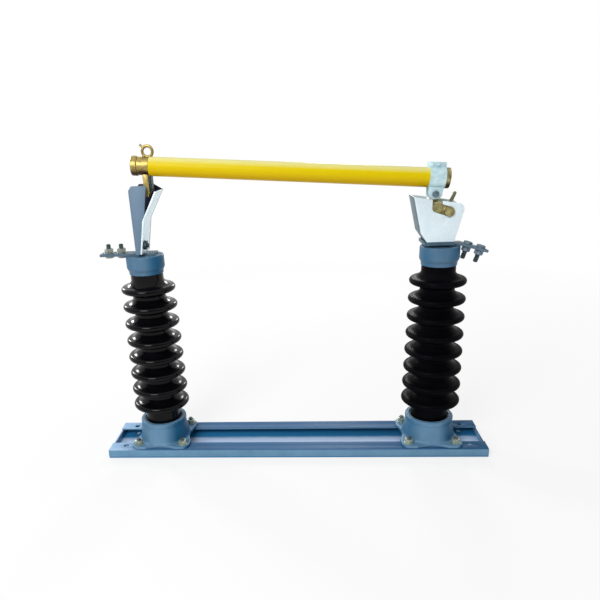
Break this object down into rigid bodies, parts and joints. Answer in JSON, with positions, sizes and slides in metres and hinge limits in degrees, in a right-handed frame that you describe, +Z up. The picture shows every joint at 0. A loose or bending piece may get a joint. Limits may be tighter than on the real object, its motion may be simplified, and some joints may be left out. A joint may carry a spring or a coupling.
{
  "type": "dropout fuse cutout",
  "caption": "Twin-post dropout fuse: porcelain post insulators on a steel base channel, with a fuse tube that swings up on a trunnion hinge.",
  "frame": {"origin": "centre of the base channel's flat underside", "axes": "+Z up, +X towards the hinge post, +Y to the back"},
  "size_m": [1, 0.164, 0.7939],
  "materials": {
    "painted_steel": "blue-grey paint, satin",
    "galvanised": "hot-dip galvanised, satin",
    "zinc_bolts": "zinc plated, satin",
    "dark_steel": "blackened, satin",
    "glaze": "dark brown glaze, gloss",
    "cement": "cement, matt",
    "brass": "aged brass, satin",
    "yellow_tube": "yellow varnished laminate tube, semi-gloss"
  },
  "bodies": {
    "stand": {"base_channel": "painted_steel", "end_plate_left": "painted_steel", "end_plate_right": "painted_steel", "foot_left": "painted_steel", "foot_right": "painted_steel", "cap_left": "painted_steel", "cap_right": "painted_steel", "terminal_left": "painted_steel", "terminal_right": "painted_steel", "contact_bracket": "painted_steel", "hinge_base": "painted_steel", "hinge_bracket": "galvanised", "contact_web": "galvanised", "foot_bolts_left": "zinc_bolts", "foot_bolts_right": "zinc_bolts", "contact_screws": "zinc_bolts", "hinge_screws": "zinc_bolts", "terminal_bolts_left": "dark_steel", "terminal_bolts_right": "dark_steel", "contact_bolt": "dark_steel", "insulator_left": "glaze", "insulator_right": "glaze", "cement_left": "cement", "cement_right": "cement", "contact_spring": "brass"},
    "link": {"trunnion_link": "brass", "link_horn": "dark_steel"},
    "tube": {"fuse_tube": "yellow_tube", "top_ferrule": "brass", "end_cap": "brass", "pull_ring": "brass", "contact_tongue": "brass", "tongue_stay": "dark_steel", "tube_collar": "galvanised", "collar_bolt": "dark_steel", "toggle_bolt": "dark_steel", "lower_ferrule": "brass"}
  },
  "joints": [
    {"name": "trunnion_swing", "type": "hinge", "parent": "stand", "child": "link", "pos_m": [0.368, 0, 0.6185], "axis": [0, 1, 0], "range_deg": [0, 105]},
    {"name": "toggle_turn", "type": "hinge", "parent": "link", "child": "tube", "pos_m": [0.3385, 0, 0.6565], "axis": [0, 1, 0], "range_deg": [0, 10]}
  ]
}
